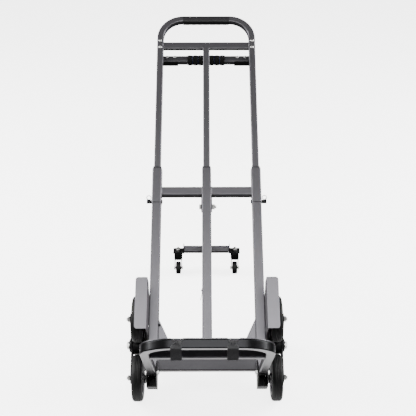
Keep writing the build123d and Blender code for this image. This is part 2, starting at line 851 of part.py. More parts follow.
def side_plane(x, angle=None):
    """Plane facing +X on a wheel's centre, local x to the back, local y up."""
    return Plane(star_spot(x, angle), x_dir=(0, 1, 0), z_dir=(1, 0, 0))


for side, sign in sides.items():
    with BuildPart() as star_carrier:
        for start in (star_inner_x, star_outer_x):
            with BuildSketch(side_plane(sign * start)) as star_outline:
                Circle(hub_radius)
                with PolarLocations(star_radius, 3, start_angle=90):
                    Circle(lobe_radius)
                with PolarLocations(star_radius / 2, 3, start_angle=90):
                    Trapezoid(2 * hub_radius - 12, star_radius, arm_slope, rotation=-90)
                arm_roots = star_outline.vertices().filter_by(lambda v: v.center().length < root_limit)
                fillet(arm_roots, 14)
            extrude(amount=sign * star_plate)
        with BuildSketch(side_plane(sign * (star_outer_x + star_plate))):
            Circle(24)
        extrude(amount=sign * 7, taper=20)
        with BuildSketch(side_plane(sign * (star_inner_x + star_plate))):
            Circle(hub_tube_radius)
        extrude(amount=sign * (star_outer_x - star_inner_x - star_plate))
        with BuildSketch(side_plane(sign * (star_inner_x - 2))):
            Circle(axle_radius + clearance)
        extrude(amount=sign * 70, mode=Mode.SUBTRACT)
        for angle in wheel_angles.values():
            with BuildSketch(side_plane(sign * (star_inner_x - 2), angle)):
                Circle(wheel_bolt_radius)
            extrude(amount=sign * 60, mode=Mode.SUBTRACT)
    save(star_carrier, f"{side}_star_carrier")

    with BuildPart() as wheel_bolts:
        for angle in wheel_angles.values():
            with BuildSketch(side_plane(sign * (star_inner_x - 5), angle)):
                RegularPolygon(9, 6)
            extrude(amount=sign * 5)
            with BuildSketch(side_plane(sign * star_inner_x, angle)):
                Circle(wheel_bolt_radius)
            extrude(amount=sign * (261 - star_inner_x))
            with BuildSketch(side_plane(sign * (star_outer_x + star_plate), angle)):
                RegularPolygon(9, 6)
            extrude(amount=sign * 8)
    save(wheel_bolts, f"{side}_wheel_bolts")

    for place, angle in wheel_angles.items():
        wheel_centre = star_spot(sign * wheel_mid_x, angle)
        wheel_plane = Plane(wheel_centre, x_dir=(0, 0, 1), z_dir=(0, 1, 0))
        wheel_axis = Axis(wheel_centre, (1, 0, 0))
        hub_half = (star_outer_x - star_inner_x - star_plate) / 2 - 0.4
        with BuildPart() as wheel_rim:
            with BuildSketch(wheel_plane):
                with BuildLine():
                    Polyline(
                        (wheel_bolt_radius + clearance, -hub_half),
                        (14, -hub_half),
                        (15, -7),
                        (46, -5),
                        (50, -15),
                        (57, -16),
                        (57, 16),
                        (50, 15),
                        (46, 5),
                        (15, 7),
                        (14, hub_half),
                        (wheel_bolt_radius + clearance, hub_half),
                        close=True,
                    )
                make_face()
            revolve(axis=wheel_axis)
            with BuildSketch(side_plane(sign * wheel_mid_x - 30, angle)):
                with PolarLocations(31, 6):
                    Circle(9)
            extrude(amount=60, mode=Mode.SUBTRACT)
        save(wheel_rim, f"{side}_{place}_wheel_rim")

        with BuildPart() as wheel_tire:
            with BuildSketch(wheel_plane) as tire_outline:
                with Locations(((57 + wheel_radius) / 2, 0)):
                    Rectangle(wheel_radius - 57, wheel_width)
                outer_edge = tire_outline.vertices().group_by(Axis.X)[-1]
                fillet(outer_edge, 9)
            revolve(axis=wheel_axis)
        save(wheel_tire, f"{side}_{place}_wheel_tire")
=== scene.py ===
"""Looks of a stair climbing trolley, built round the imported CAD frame. Lengths are in metres."""

import json
import math
import random

import bpy
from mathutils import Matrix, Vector


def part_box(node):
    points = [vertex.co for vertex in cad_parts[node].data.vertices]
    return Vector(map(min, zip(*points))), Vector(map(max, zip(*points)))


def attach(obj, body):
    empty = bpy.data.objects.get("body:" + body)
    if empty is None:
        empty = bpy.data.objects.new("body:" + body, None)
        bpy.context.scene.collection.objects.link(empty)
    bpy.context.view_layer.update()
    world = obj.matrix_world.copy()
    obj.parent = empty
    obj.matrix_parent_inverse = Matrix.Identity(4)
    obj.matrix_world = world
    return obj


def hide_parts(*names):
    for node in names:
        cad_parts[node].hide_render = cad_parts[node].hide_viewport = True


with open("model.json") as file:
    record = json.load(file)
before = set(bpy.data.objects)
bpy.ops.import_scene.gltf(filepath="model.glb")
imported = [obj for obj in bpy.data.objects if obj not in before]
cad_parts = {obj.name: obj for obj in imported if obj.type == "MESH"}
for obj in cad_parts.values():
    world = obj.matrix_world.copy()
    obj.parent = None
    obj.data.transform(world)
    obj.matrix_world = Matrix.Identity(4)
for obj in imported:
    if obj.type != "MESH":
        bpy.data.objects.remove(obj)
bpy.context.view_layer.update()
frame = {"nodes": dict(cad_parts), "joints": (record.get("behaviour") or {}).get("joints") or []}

random.seed(11)

# ---------------------------------------------------------------- the leaning frame's directions
# x runs across, s up the rails and n out of the load side, from ORIGIN on the rails' load face.
HINGE_BELOW = 0.110
HINGE_OUT = 0.022
joints = {j["name"]: j for j in frame["joints"]}
ACROSS = Vector((1, 0, 0))
UP = Vector(joints["handle_slide"]["axis"]).normalized()
OUT = ACROSS.cross(UP)
ORIGIN = Vector(joints["toe_plate_fold"]["pos_m"]) + HINGE_BELOW * UP - HINGE_OUT * OUT
SIDES = {"left": -1, "right": 1}


def spot(x, s, n):
    """Point at x across, s up the rails and n out of the load side."""
    return ORIGIN + x * ACROSS + s * UP + n * OUT


# ---------------------------------------------------------------- camera
SENSOR_WIDTH = 36.0
LENS = 64.8
CAMERA_PLACE = (-0.006, -2.1807, 1.7694)
CAMERA_TILT = math.radians(60.0)
CAMERA_TURN = math.radians(-0.27)

camera_data = bpy.data.cameras.new("camera")
camera_data.sensor_width = SENSOR_WIDTH
camera_data.lens = LENS
camera = bpy.data.objects.new("camera", camera_data)
camera.location = CAMERA_PLACE
camera.rotation_euler = (CAMERA_TILT, 0.0, CAMERA_TURN)
bpy.context.scene.collection.objects.link(camera)
bpy.context.scene.camera = camera


# ---------------------------------------------------------------- materials
# Sockets of a Mix node that mixes colours, and the cosines between which an edge counts as turned.
MIX_FACTOR, MIX_A, MIX_B, MIX_RESULT = 0, 6, 7, 2
EDGE_FLAT, EDGE_TURNED = 0.995, 0.90


def fill_ramp(node, stops):
    """Sets a colour ramp's stops, which are (place, colour) pairs."""
    elements = node.color_ramp.elements
    while len(elements) < len(stops):
        elements.new(0.5)
    for element, (place, colour) in zip(elements, stops):
        element.position = place
        element.color = (*colour, 1.0)


class Shader:
    """A node material whose Principled sockets are set by name, with helpers for its textures."""

    def __init__(self, name, **values):
        self.material = bpy.data.materials.new(name)
        self.material.use_nodes = True
        self.tree = self.material.node_tree
        self.principled = self.tree.nodes["Principled BSDF"]
        for key, value in values.items():
            self.principled.inputs[key.replace("_", " ")].default_value = value
        self.coords = self.tree.nodes.new("ShaderNodeTexCoord")

    def link(self, source, target):
        self.tree.links.new(source, target)

    def new(self, kind, inputs=(), **settings):
        node = self.tree.nodes.new("ShaderNode" + kind)
        for key, value in settings.items():
            setattr(node, key, value)
        for key, value in dict(inputs).items():
            if isinstance(value, bpy.types.NodeSocket):
                self.link(value, node.inputs[key])
            else:
                node.inputs[key].default_value = value
        return node

    def noise(self, scale, detail, rough=0.55):
        place = self.coords.outputs["Object"]
        inputs = {"Vector": place, "Scale": scale, "Detail": detail, "Roughness": rough}
        return self.new("TexNoise", inputs).outputs["Fac"]

    def cells(self, scale):
        inputs = {"Vector": self.coords.outputs["Object"], "Scale": scale}
        return self.new("TexVoronoi", inputs).outputs["Distance"]

    def ramp(self, value, stops):
        node = self.new("ValToRGB", {"Fac": value})
        fill_ramp(node, stops)
        return node.outputs["Color"]

    def math(self, operation, a, b, clamp=False):
        node = self.new("Math", {0: a, 1: b}, operation=operation, use_clamp=clamp)
        return node.outputs[0]

    def mix(self, factor, a, b):
        """Colour a turning into colour b as factor grows; factor and a are sockets."""
        inputs = {MIX_FACTOR: factor, MIX_A: a, MIX_B: (*b, 1.0)}
        return self.new("Mix", inputs, data_type="RGBA").outputs[MIX_RESULT]

    def colour(self, socket):
        self.link(socket, self.principled.inputs["Base Color"])

    def rough(self, value, low, high):
        node = self.new("MapRange", {"Value": value, "To Min": low, "To Max": high})
        self.link(node.outputs["Result"], self.principled.inputs["Roughness"])

    def bump(self, height, distance, strength, normal=None):
        inputs = {"Height": height, "Distance": distance, "Strength": strength}
        if normal:
            inputs["Normal"] = normal
        return self.new("Bump", inputs).outputs["Normal"]

    def normal(self, socket):
        self.link(socket, self.principled.inputs["Normal"])

    def edges(self, radius):
        """Rounded edge normal, and a mask that is 1 where the surface turns at an edge."""
        rounded = self.new("Bevel", {"Radius": radius}, samples=4).outputs["Normal"]
        flat = self.new("NewGeometry").outputs["Normal"]
        turn = self.new("VectorMath", {0: rounded, 1: flat}, operation="DOT_PRODUCT").outputs["Value"]
        mask = self.new("MapRange", {"Value": turn, "From Min": EDGE_FLAT, "From Max": EDGE_TURNED})
        return rounded, mask.outputs["Result"]


def shade(colour, factor):
    return tuple(channel * factor for channel in colour)


def coat(name, colour, low, high, metallic, flake=0.10, edge=1.35, front=None, shine=0.5):
    """Baked powder coat: fine flake, orange peel, soft cloudiness, and slightly rubbed edges."""
    look = Shader(name, Metallic=metallic, Specular_IOR_Level=shine)
    rounded, rim = look.edges(0.0011)
    cloud = look.noise(7.0, 4.0)
    fine = look.noise(2600.0, 2.0)
    base = look.ramp(fine, ((0.32, shade(colour, 1 - flake)), (0.70, shade(colour, 1 + flake))))
    base = look.mix(look.math("MULTIPLY", cloud, 0.22), base, shade(colour, 0.72))
    rub = look.math("MULTIPLY", rim, look.noise(60.0, 5.0), True)
    base = look.mix(rub, base, shade(colour, edge))
    if front:
        base = front(look, base)
    look.colour(base)
    look.rough(cloud, low, high)
    peel = look.bump(look.noise(620.0, 2.0), 0.00012, 0.55, rounded)
    look.normal(look.bump(fine, 0.00003, 0.5, peel))
    return look.material


def zinc(name, colour, low=0.20, high=0.42):
    """Plated steel with faint spangle, cloudy stains and slightly brighter edges."""
    look = Shader(name, Metallic=1.0, Specular_IOR_Level=0.6)
    rounded, rim = look.edges(0.0006)
    spangle = look.cells(420.0)
    stain = look.noise(90.0, 5.0)
    base = look.ramp(spangle, ((0.0, shade(colour, 0.88)), (0.8, shade(colour, 1.1))))
    base = look.mix(look.math("MULTIPLY", stain, 0.35), base, shade(colour, 0.62))
    look.colour(look.mix(look.math("MULTIPLY", rim, 0.5), base, shade(colour, 1.3)))
    look.rough(stain, low, high)
    look.normal(look.bump(look.noise(900.0, 3.0), 0.00006, 0.5, rounded))
    return look.material


def plastic(name, colour, low, high, grain=900.0, depth=0.00010, shine=0.5):
    """Moulded plastic with a fine spark-eroded grain."""
    look = Shader(name, Specular_IOR_Level=shine)
    rounded, rim = look.edges(0.0007)
    cloud = look.noise(16.0, 4.0)
    base = look.ramp(cloud, ((0.3, shade(colour, 0.85)), (0.7, shade(colour, 1.12))))
    look.colour(look.mix(look.math("MULTIPLY", rim, 0.45), base, shade(colour, 1.5)))
    look.rough(cloud, low, high)
    look.normal(look.bump(look.cells(grain), depth, 0.5, rounded))
    return look.material


def rubber(name, colour):
    """Solid rubber with a pale mould bloom and a fine grain."""
    look = Shader(name, Specular_IOR_Level=0.22)
    cloud = look.noise(22.0, 6.0, 0.6)
    fine = look.noise(1500.0, 3.0)
    base = look.ramp(cloud, ((0.30, shade(colour, 0.75)), (0.72, shade(colour, 1.3))))
    bloom = look.math("MULTIPLY", look.noise(180.0, 4.0), 0.14)
    look.colour(look.mix(bloom, base, shade(colour, 2.6)))
    look.rough(cloud, 0.48, 0.68)
    look.normal(look.bump(fine, 0.00008, 0.6))
    return look.material


def foam(name, colour):
    """Closed-cell foam: matt black skin with open pores."""
    look = Shader(name, Specular_IOR_Level=0.14, Sheen_Weight=0.03, Sheen_Roughness=0.6)
    pores = look.cells(1100.0)
    blotch = look.noise(70.0, 5.0)
    base = look.ramp(pores, ((0.0, shade(colour, 0.45)), (0.45, colour)))
    look.colour(look.mix(look.math("MULTIPLY", blotch, 0.5), base, shade(colour, 1.7)))
    look.rough(blotch, 0.78, 0.94)
    rounded = look.bump(blotch, 0.0008, 0.5)
    look.normal(look.bump(pores, 0.0003, 0.8, rounded))
    return look.material


def webbing(name, colour, pitch=0.0011):
    """Woven strap: warp cords along it and weft between them, from the strap's own lie."""
    look = Shader(name, Specular_IOR_Level=0.20, Sheen_Weight=0.04, Sheen_Roughness=0.45)
    lie = look.new("Attribute", attribute_name="lie").outputs["Vector"]
    parts = look.new("SeparateXYZ", {"Vector": lie}).outputs

    def wave(value):
        angle = look.math("MULTIPLY", value, 2 * math.pi / pitch)
        return look.new("Math", {0: angle}, operation="SINE").outputs[0]

    twill = look.math("ADD", parts["Y"], look.math("MULTIPLY", parts["X"], 0.5))
    weave = look.math("MULTIPLY", wave(parts["X"]), wave(twill))
    height = look.new("Math", {0: weave, 1: 0.5, 2: 0.5}, operation="MULTIPLY_ADD").outputs[0]
    worn = look.noise(55.0, 5.0)
    base = look.ramp(height, ((0.15, shade(colour, 0.45)), (0.85, shade(colour, 1.35))))
    look.colour(look.mix(look.math("MULTIPLY", worn, 0.4), base, shade(colour, 1.9)))
    look.rough(worn, 0.40, 0.62)
    look.normal(look.bump(height, 0.00030, 0.8))
    return look.material


def toe_front(look, base):
    """The toe frame's faces that look out of the load side turn near black; the other faces keep the
    coat.
    """
    pair = {0: look.coords.outputs["Normal"], 1: tuple(OUT)}
    facing = look.new("VectorMath", pair, operation="DOT_PRODUCT").outputs["Value"]
    mask = look.new("MapRange", {"Value": facing, "From Min": 0.30, "From Max": 0.42})
    return look.mix(mask.outputs["Result"], base, (0.008, 0.008, 0.009))


GRAY = (0.108, 0.105, 0.114)
frame_coat = coat("frame_coat", GRAY, 0.34, 0.44, 0.85)
guard_coat = coat("guard_coat", shade(GRAY, 1.30), 0.34, 0.44, 0.8)
toe_coat = coat("toe_coat", GRAY, 0.24, 0.34, 0.85, front=toe_front)
black_steel = coat("black_steel", (0.0035, 0.0035, 0.004), 0.36, 0.50, 0.0, 0.25, 3.0, shine=0.16)
# Painted shade: the bottom crossbar's coat is the frame's gray at 0.27 of its brightness, for the shade
# the toe plate casts on it.
painted_shade_coat = coat("painted_shade_coat", shade(GRAY, 0.27), 0.34, 0.44, 0.85)
bolt_zinc = zinc("bolt_zinc", (0.50, 0.50, 0.49))
fork_zinc = zinc("fork_zinc", (0.22, 0.22, 0.23), 0.30, 0.48)
black_plastic = plastic("black_plastic", (0.004, 0.004, 0.0045), 0.34, 0.50, shine=0.25)
rim_plastic = plastic("rim_plastic", (0.085, 0.085, 0.09), 0.32, 0.46)
ring_plastic = plastic("ring_plastic", (0.004, 0.007, 0.060), 0.30, 0.42)
grip_vinyl = plastic("grip_vinyl", (0.008, 0.008, 0.009), 0.46, 0.60, 1300.0, 0.00016, shine=0.3)
tire_rubber = rubber("tire_rubber", (0.0030, 0.0030, 0.0033))
foam_black = foam("foam_black", (0.0035, 0.0035, 0.0038))
strap_weave = webbing("strap_weave", (0.0300, 0.0300, 0.0315))

CAD_LOOKS = {
    frame_coat: (
        "left_side_rail", "right_side_rail", "center_rail", "middle_crossbars",
        "gusset_plates", "lock_sleeves", "handle_tube", "center_inner_tube", "upper_crossbar",
        "toe_crossbar", "toe_sheet", "leg_tube", "leg_cross_tube", "tube_guide_bushes", "rear_handle_bar",
    ),
    guard_coat: ("wheel_guards",),
    # The bottom crossbar takes the darkened coat of painted shade.
    painted_shade_coat: ("bottom_crossbar",),
    toe_coat: ("toe_frame",),
    black_steel: (
        "hinge_brackets", "axle_brackets", "leg_pivot_bracket", "leg_clip", "left_star_carrier",
        "right_star_carrier", "rear_handle_arms", "plunger_barrels", "leg_end_plates",
        "left_lock_pin", "right_lock_pin",
    ),
    bolt_zinc: (
        "stub_axles", "toe_hinge_bolts", "leg_pivot_bolt", "rear_handle_bolts", "caster_stem_nuts",
        "left_wheel_bolts", "right_wheel_bolts", "lock_springs",
    ),
    fork_zinc: ("left_caster_fork", "right_caster_fork"),
    black_plastic: ("inner_tube_sliders",),
    rim_plastic: tuple(n for n in frame["nodes"] if n.endswith(("_wheel_rim", "_caster_wheel"))),
    tire_rubber: tuple(n for n in frame["nodes"] if n.endswith("_tire")),
}
for look, names in CAD_LOOKS.items():
    for name in names:
        mesh = frame["nodes"][name].data
        mesh.materials.clear()
        mesh.materials.append(look)


# ---------------------------------------------------------------- mesh helpers
def piece(name, vertices, faces, material, body, slot, smooth=True):
    """A new piece that rides on a body; the slot it is given is not used."""
    mesh = bpy.data.meshes.new(name)
    mesh.from_pydata([tuple(v) for v in vertices], [], faces)
    mesh.validate()
    mesh.update()
    mesh.materials.append(material)
    made = bpy.data.objects.new(name, mesh)
    bpy.context.scene.collection.objects.link(made)
    mesh.polygons.foreach_set("use_smooth", [smooth] * len(mesh.polygons))
    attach(made, body)
    return made


def rows(first, second, count, closed=True):
    """Faces between two rows of count vertices, given by each row's first index."""
    faces = []
    for k in range(count if closed else count - 1):
        after = (k + 1) % count
        faces.append((first + k, first + after, second + after, second + k))
    return faces


def caps(last, count):
    """The two end faces of a stack of rows; last is the first index of the last row."""
    return [tuple(reversed(range(count))), tuple(range(last, last + count))]


def join(parts):
    """Several (vertices, faces) pairs as one."""
    vertices, faces = [], []
    for some_vertices, some_faces in parts:
        start = len(vertices)
        vertices.extend(some_vertices)
        faces.extend(tuple(index + start for index in face) for face in some_faces)
    return vertices, faces


def lathe(centre, outline, count):
    """A closed outline of (x, radius) points turned about the x axis."""
    vertices, faces = [], []
    size = len(outline)
    for turn in range(count):
        angle = 2 * math.pi * turn / count
        for x, radius in outline:
            vertices.append(centre + Vector((x, radius * math.cos(angle), radius * math.sin(angle))))
        faces += rows(turn * size, (turn + 1) % count * size, size)
    return vertices, faces


def stand(centre, outline, count):
    """An open outline of (radius, z) points turned about the upright axis at centre."""
    vertices, faces = [], []
    size = len(outline)
    for turn in range(count):
        angle = 2 * math.pi * turn / count
        for radius, z in outline:
            x = centre.x + radius * math.cos(angle)
            y = centre.y + radius * math.sin(angle)
            vertices.append(Vector((x, y, z)))
        a, b = turn * size, (turn + 1) % count * size
        faces += [(a + k, b + k, b + k + 1, a + k + 1) for k in range(size - 1)]
    return vertices, faces


def turned(base, way, outline, count):
    """An outline of (height, radius) points turned about way; a count of 6 makes a hexagon."""
    side = way.orthogonal().normalized()
    other = way.cross(side)
    vertices, faces = [], []
    for height, radius in outline:
        for turn in range(count):
            angle = 2 * math.pi * turn / count
            arm = math.cos(angle) * side + math.sin(angle) * other
            vertices.append(base + height * way + radius * arm)
    for k in range(len(outline) - 1):
        faces += rows(k * count, (k + 1) * count, count)
    return vertices, faces + caps((len(outline) - 1) * count, count)


def tube(points, radii, count=8):
    """Round tube along points, with a radius for each of them."""
    vertices, faces = [], []
    end = len(points) - 1
    side = None
    for k, point in enumerate(points):
        way = (points[min(k + 1, end)] - points[max(k - 1, 0)]).normalized()
        side = (side - side.dot(way) * way if side else way.orthogonal()).normalized()
        other = way.cross(side)
        for turn in range(count):
            angle = 2 * math.pi * turn / count
            vertices.append(point + radii[k] * (math.cos(angle) * side + math.sin(angle) * other))
    for k in range(end):
        faces += rows(k * count, (k + 1) * count, count)
    return vertices, faces + caps(end * count, count)


def prism(outline, start, way, thick):
    """A flat plate: outline is a list of points in one plane, way the unit vector through it."""
    count = len(outline)
    vertices = [start + p for p in outline] + [start + p + way * thick for p in outline]
    return vertices, caps(count, count) + rows(0, count, count)


BOX_FACES = [(0, 2, 3, 1), (4, 5, 7, 6), (0, 1, 5, 4), (1, 3, 7, 5), (3, 2, 6, 7), (2, 0, 4, 6)]


def block(low, high, place):
    """Box between two corners of three measures, which place turns into points."""
    corners = [
        place(a, b, c)
        for c in (low[2], high[2]) for b in (low[1], high[1]) for a in (low[0], high[0])
    ]
    return corners, BOX_FACES


def upright(x, y, z):
    """A point given by its place in the frame, and not on the leaning rails."""
    return Vector((x, y, z))


def soft_edges(made, width, segments=2, angle=35.0):
    """Rounds a plate's edges and keeps its flats flat."""
    bevel = made.modifiers.new("bevel", "BEVEL")
    bevel.width = width
    bevel.segments = segments
    bevel.limit_method = "ANGLE"
    bevel.angle_limit = math.radians(angle)
    made.modifiers.new("normals", "WEIGHTED_NORMAL").keep_sharp = True


def thicken(made, thickness):
    """Gives a sheet its thickness, half to each side."""
    solid = made.modifiers.new("thick", "SOLIDIFY")
    solid.thickness = thickness
    solid.offset = 0.0


DOME_SKIRT = 0.0004
DOME_STEPS = 8
WASHER = 0.0012
HEAD_COUNT, STUD_COUNT = 36, 24


def dome(base, way, radius, height):
    """Low round rivet head on a small skirt."""
    outline = [(0.0, radius), (DOME_SKIRT, radius)]
    for k in range(1, DOME_STEPS + 1):
        angle = math.pi / 2 * k / DOME_STEPS
        rise = DOME_SKIRT + height * math.sin(angle)
        outline.append((rise, max(radius * math.cos(angle), 0.0003)))
    return turned(base, way, outline, HEAD_COUNT)


def hex_nut(base, way, radius, height, stud):
    """Washer, chamfered hexagon, and the end of its bolt."""
    chamfer = radius * 0.10
    shank = radius * 0.52
    ring = [(0.0, radius * 1.28), (WASHER * 0.7, radius * 1.28), (WASHER, radius * 1.22)]
    ring.append((WASHER, radius * 0.6))
    hexagon = [(WASHER, radius * 0.94), (WASHER + chamfer * 0.5, radius)]
    hexagon += [(height - chamfer, radius), (height, radius * 0.86)]
    end = [(height - 0.0005, shank), (height + stud - 0.0008, shank)]
    end.append((height + stud, radius * 0.42))
    return join([
        turned(base, way, ring, HEAD_COUNT),
        turned(base, way, hexagon, 6),
        turned(base, way, end, STUD_COUNT),
    ])


# ---------------------------------------------------------------- tires
TIRE_HALF, TIRE_OUTER, TIRE_INNER, TIRE_CROWN = 0.0172, 0.0747, 0.0571, 0.0098
TIRE_FOOT_X = 0.0158
SHOULDER_X = 0.009
GROOVES = (-0.0078, -0.0026, 0.0026, 0.0078)
GROOVE_TOP, GROOVE_FLOOR, GROOVE_DEPTH = 0.00075, 0.00045, 0.0012
EDGE_GROOVE_X, EDGE_DROP = 0.0075, 0.0001
CROWN_STEPS = 6
TIRE_COUNT = 120


def tire_outline():
    """Closed (x, radius) outline of a tire with four tread grooves and a stepped sidewall."""
    points = [(-TIRE_FOOT_X, TIRE_INNER), (-TIRE_HALF + 0.0006, TIRE_INNER + 0.0010)]
    points += [(-TIRE_HALF, TIRE_INNER + 0.0035), (-TIRE_HALF + 0.0007, TIRE_INNER + 0.0048)]
    points.append((-TIRE_HALF, TIRE_INNER + 0.0062))
    for k in range(CROWN_STEPS + 1):
        angle = math.radians(180 - 90 * k / CROWN_STEPS)
        x = -TIRE_HALF + TIRE_CROWN + TIRE_CROWN * math.cos(angle)
        points.append((x, TIRE_OUTER - TIRE_CROWN + TIRE_CROWN * math.sin(angle)))
    for groove in GROOVES:
        top = TIRE_OUTER if abs(groove) < EDGE_GROOVE_X else TIRE_OUTER - EDGE_DROP
        floor_radius = top - GROOVE_DEPTH
        points += [(groove - GROOVE_TOP, top), (groove - GROOVE_FLOOR, floor_radius)]
        points += [(groove + GROOVE_FLOOR, floor_radius), (groove + GROOVE_TOP, top)]
    left = [p for p in points if p[0] < -SHOULDER_X]
    tread = [p for p in points if p[0] >= -SHOULDER_X]
    right = [(-x, radius) for x, radius in reversed(left)]
    return left + tread + right


wheel_outline = tire_outline()
for side in SIDES:
    for place in ("top", "front", "rear"):
        wheel = f"{side}_{place}_wheel"
        centre = Vector(joints[f"{wheel}_spin"]["pos_m"])
        tread_mesh = lathe(centre, wheel_outline, TIRE_COUNT)
        tire = piece(f"{side}_{place}_tread", *tread_mesh, tire_rubber, wheel, "tire_rubber")
        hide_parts(f"{wheel}_tire")

# ---------------------------------------------------------------- hub drums between the star plates
# A guess: the photograph is dark there, where the CAD's slim hub tube would let the floor show.
STAR_MID_X = 0.224
DRUM_HALF, DRUM_RADIUS, DRUM_BORE, DRUM_CHAMFER = 0.0209, 0.0300, 0.0173, 0.0005
DRUM_COUNT = 64

drum_outline = [
    (-DRUM_HALF, DRUM_BORE), (-DRUM_HALF, DRUM_RADIUS - DRUM_CHAMFER),
    (-DRUM_HALF + DRUM_CHAMFER, DRUM_RADIUS), (DRUM_HALF - DRUM_CHAMFER, DRUM_RADIUS),
    (DRUM_HALF, DRUM_RADIUS - DRUM_CHAMFER), (DRUM_HALF, DRUM_BORE),
]
for side, sign in SIDES.items():
    hub = Vector(joints[f"{side}_star_turn"]["pos_m"])
    hub.x = sign * STAR_MID_X
    drum_mesh = lathe(hub, drum_outline, DRUM_COUNT)
    drum = piece(f"{side}_star_drum", *drum_mesh, black_steel, f"{side}_star", "black_steel")
    soft_edges(drum, 0.0003)

# ---------------------------------------------------------------- foam grip and its rings
SEGMENTS, SEGMENT, RING = 7, 0.0187, 0.0023
GRIP_BORE = 0.0135
FOAM_RADIUS, FOAM_ARCH, FOAM_PULL = 0.0199, 0.0012, 0.0010
FOAM_STEPS, FOAM_COUNT = 12, 48
BAND_HALF, BAND_FLAT, BAND_SIDE, BAND_RADIUS = 0.00112, 0.0006, 0.0176, 0.0184


def foam_outline():
    """Outline of one foam segment, arched and pulled in at both ends."""
    outline = [(-SEGMENT / 2, GRIP_BORE)]
    for k in range(FOAM_STEPS + 1):
        share = -1 + 2 * k / FOAM_STEPS
        pull = abs(share) ** 5
        radius = FOAM_RADIUS - FOAM_ARCH * share * share - FOAM_PULL * pull
        outline.append((share * SEGMENT / 2, radius))
    outline.append((SEGMENT / 2, GRIP_BORE))
    return outline


ring_outline = [
    (-BAND_HALF, GRIP_BORE), (-BAND_HALF, BAND_SIDE), (-BAND_FLAT, BAND_RADIUS),
    (BAND_FLAT, BAND_RADIUS), (BAND_HALF, BAND_SIDE), (BAND_HALF, GRIP_BORE),
]
foam_low, foam_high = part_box("rear_grip_foam")
bar_mid = (foam_low + foam_high) / 2
foam_parts, ring_parts = [], []
for index in range(SEGMENTS):
    middle = bar_mid + Vector(((index - SEGMENTS // 2) * (SEGMENT + RING), 0, 0))
    foam_parts.append(lathe(middle, foam_outline(), FOAM_COUNT))
    if index:
        ring_mid = middle - Vector(((SEGMENT + RING) / 2, 0, 0))
        ring_parts.append(lathe(ring_mid, ring_outline, FOAM_COUNT))
grip_foam = piece("rear_grip_segments", *join(foam_parts), foam_black, "handle", "grip_foam")
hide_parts("rear_grip_foam")
grip_rings = piece("rear_grip_bands", *join(ring_parts), ring_plastic, "handle", "grip_ring")
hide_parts("rear_grip_rings")

# ---------------------------------------------------------------- handle grip
RAIL_X = 0.1725
TUBE_N = -0.016
GRIP_S = 1.233
GRIP_HALF = 0.0885
GRIP_END = 0.0035
GRIP_TUBE = 0.0121
GRIP_ABOVE, GRIP_BELOW = 0.0126, 0.0145
GRIP_OUT, GRIP_BACK = 0.0127, 0.0142
GRIP_CORNER = 0.42
WAVE_HEIGHT, WAVE_PITCH = 0.00022, 0.0235
GRIP_STEPS, GRIP_COUNT = 96, 40


def grip_growth(share):
    """How far the sleeve stands off its tube: a quarter circle at each end, full between."""
    near = (1 - abs(share)) * GRIP_HALF / GRIP_END
    return math.sqrt(near * (2 - near)) if near < 1 else 1.0


def grip_ring(x, growth):
    """One section of the sleeve: flush on top, thicker below, with finger waves on the underside."""
    points = []
    wave = WAVE_HEIGHT * math.cos(2 * math.pi * x / WAVE_PITCH)
    for k in range(GRIP_COUNT):
        angle = 2 * math.pi * k / GRIP_COUNT
        cosine, sine = math.cos(angle), math.sin(angle)
        s = math.copysign(abs(cosine) ** GRIP_CORNER, cosine)
        n = math.copysign(abs(sine) ** GRIP_CORNER, sine)
        reach_s = GRIP_ABOVE if s > 0 else GRIP_BELOW + wave
        reach_n = GRIP_OUT if n > 0 else GRIP_BACK
        half_s = GRIP_TUBE + (reach_s - GRIP_TUBE) * growth
        half_n = GRIP_TUBE + (reach_n - GRIP_TUBE) * growth
        points.append(spot(x, GRIP_S + s * half_s, TUBE_N + n * half_n))
    return points


grip_vertices, grip_faces = [], []
for k in range(GRIP_STEPS + 1):
    share = -1 + 2 * k / GRIP_STEPS
    grip_vertices += grip_ring(share * GRIP_HALF, grip_growth(share))
for k in range(GRIP_STEPS):
    grip_faces += rows(k * GRIP_COUNT, (k + 1) * GRIP_COUNT, GRIP_COUNT)
sleeve = piece("handle_grip_sleeve", grip_vertices, grip_faces, grip_vinyl, "handle", "grip_rubber")
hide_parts("handle_grip")

# ---------------------------------------------------------------- rivets and bolts of the rear handle
# A head is (radius, height), and a nut is (radius, height, length of its bolt's end).
ARM_HEAD, ARM_NUT = (0.0066, 0.0042), (0.0062, 0.0055, 0.0025)
BAR_HEAD, BAR_NUT = (0.0055, 0.0036), (0.0058, 0.0052, 0.0022)
ARM_RIVET_S = (1.1047, 1.1330)
ARM_FRONT, ARM_BACK = 0.012, 0.016
BAR_SCREW_X = (0.152, 0.122)
BAR_SCREW_S = 1.1265
BAR_FRONT_N, BAR_BACK_N = -0.105, -0.131

hardware = []
for sign in SIDES.values():
    for s in ARM_RIVET_S:
        hardware.append(dome(spot(sign * RAIL_X, s, TUBE_N + ARM_FRONT), OUT, *ARM_HEAD))
        hardware.append(hex_nut(spot(sign * RAIL_X, s, TUBE_N - ARM_BACK), -OUT, *ARM_NUT))
    for x in BAR_SCREW_X:
        hardware.append(dome(spot(sign * x, BAR_SCREW_S, BAR_FRONT_N), OUT, *BAR_HEAD))
        hardware.append(hex_nut(spot(sign * x, BAR_SCREW_S, BAR_BACK_N), -OUT, *BAR_NUT))
rivets = piece("rear_handle_hardware", *join(hardware), bolt_zinc, "handle", "zinc")
soft_edges(rivets, 0.00025, angle=40.0)
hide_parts("rear_handle_bolts")

# ---------------------------------------------------------------- clip that holds the folded leg
CLIP_X = -0.0164
CLIP_EDGES_N = (-0.023, -0.009)
CLIP_THICK = 0.0010
CLIP_SCREW, CLIP_SCREW_HEAD = (-0.0168, 0.164, -0.016), (0.0036, 0.0024)
CLIP_BOW = (
    (0.170, 0.0), (0.158, 0.0002), (0.150, 0.0008), (0.142, 0.0022),
    (0.136, 0.0038), (0.1335, 0.0050), (0.1325, 0.0046),
)

